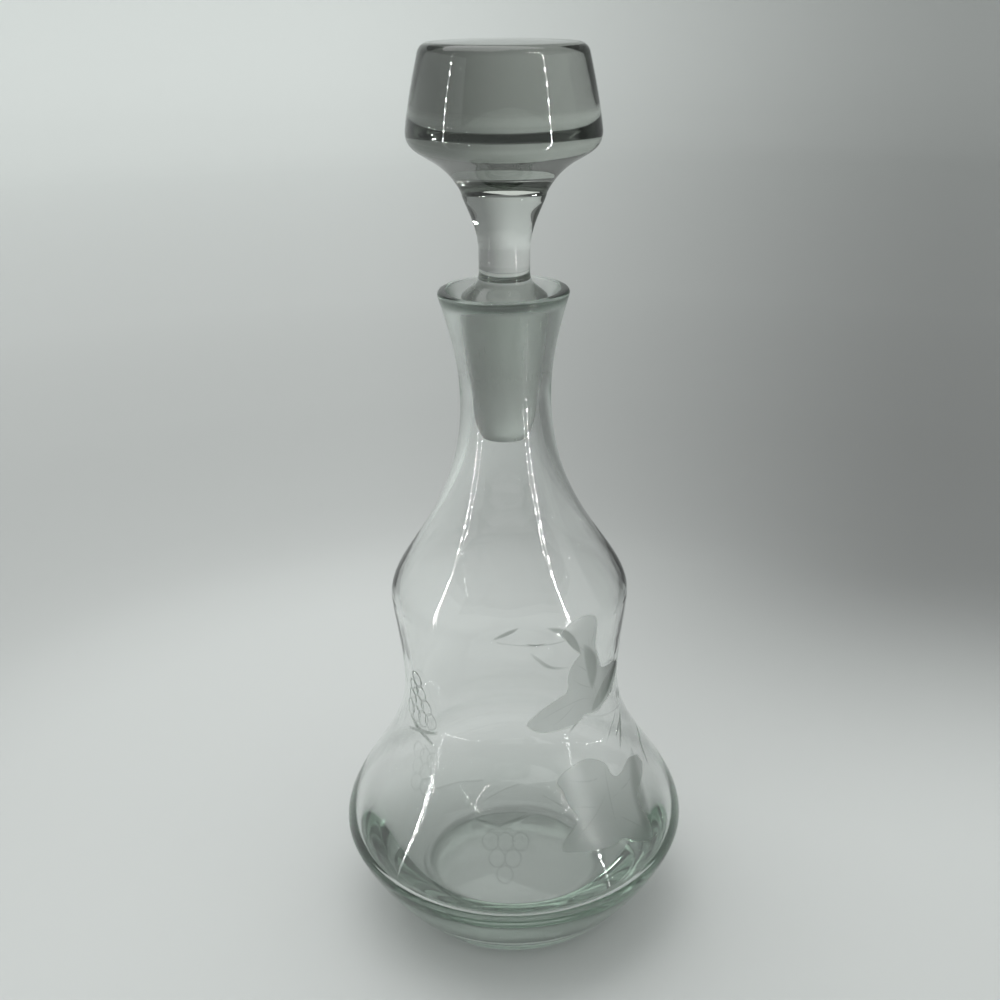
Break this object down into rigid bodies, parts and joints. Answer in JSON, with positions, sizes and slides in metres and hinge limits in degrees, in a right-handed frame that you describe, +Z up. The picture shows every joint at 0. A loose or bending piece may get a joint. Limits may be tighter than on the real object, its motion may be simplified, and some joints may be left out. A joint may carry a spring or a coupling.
{
  "type": "glass decanter",
  "caption": "Wheel-engraved clear glass decanter with a double-curved body and a solid ground stopper that lifts out of its neck.",
  "frame": {"origin": "middle of the foot, on the surface that the decanter stands on", "axes": "+Z up along the axis of both turned pieces; the engraved side faces -Y and +X"},
  "size_m": [0.1216, 0.1216, 0.3],
  "materials": {
    "body_glass": "clear polished glass with a faint grey-green tint, engraved vine leaves and grapes, ground seat in the neck",
    "stopper_glass": "clear polished solid glass with a grey-green tint, ground plug"
  },
  "bodies": {
    "decanter": {"decanter_body": "body_glass"},
    "stopper": {"stopper": "stopper_glass"}
  },
  "joints": [
    {"name": "stopper_lift", "type": "slide", "parent": "decanter", "child": "stopper", "axis": [0, 0, 1], "range_m": [0, 0.06]}
  ]
}
